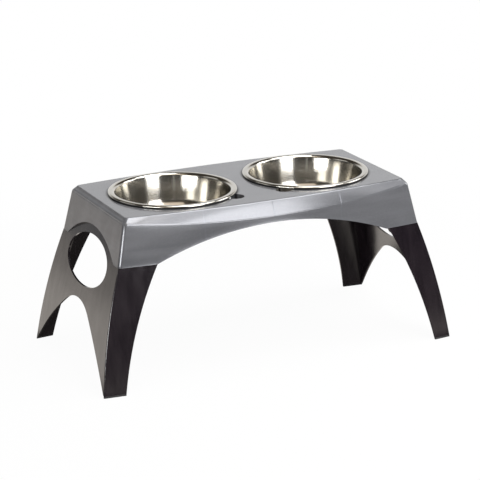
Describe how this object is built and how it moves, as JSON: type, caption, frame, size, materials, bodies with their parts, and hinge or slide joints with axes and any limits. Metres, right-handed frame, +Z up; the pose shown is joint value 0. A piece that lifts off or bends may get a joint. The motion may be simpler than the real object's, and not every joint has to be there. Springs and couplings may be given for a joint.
{
  "type": "elevated dog feeder",
  "caption": "Raised dog feeder: a bevelled moulded tray with bowed sides on push-fit leg frames with hand holes, carrying lift-out steel bowls beside finger notches.",
  "frame": {"origin": "on the floor under the middle of the tray", "axes": "+X along the tray towards its right end, +Y to the back, away from the finger notches, +Z up"},
  "size_m": [0.618, 0.3198, 0.2746],
  "materials": {
    "tray_plastic": "satin silver-grey",
    "leg_plastic": "satin charcoal",
    "bowl_steel": "polished",
    "pad_rubber": "matt"
  },
  "bodies": {
    "tray": {"tray": "tray_plastic"},
    "left_bowl": {"left_bowl": "bowl_steel"},
    "right_bowl": {"right_bowl": "bowl_steel"},
    "left_leg": {"left_leg_frame": "leg_plastic", "front_left_foot_pad": "pad_rubber", "back_left_foot_pad": "pad_rubber"},
    "right_leg": {"right_leg_frame": "leg_plastic", "front_right_foot_pad": "pad_rubber", "back_right_foot_pad": "pad_rubber"}
  },
  "joints": [
    {"name": "left_bowl_lift", "type": "slide", "parent": "tray", "child": "left_bowl", "axis": [0, 0, 1], "range_m": [0, 0.08]},
    {"name": "right_bowl_lift", "type": "slide", "parent": "tray", "child": "right_bowl", "axis": [0, 0, 1], "range_m": [0, 0.08]},
    {"name": "left_leg_pull", "type": "slide", "parent": "tray", "child": "left_leg", "axis": [0, 0, -1], "range_m": [0, 0.065]},
    {"name": "right_leg_pull", "type": "slide", "parent": "tray", "child": "right_leg", "axis": [0, 0, -1], "range_m": [0, 0.065]}
  ]
}
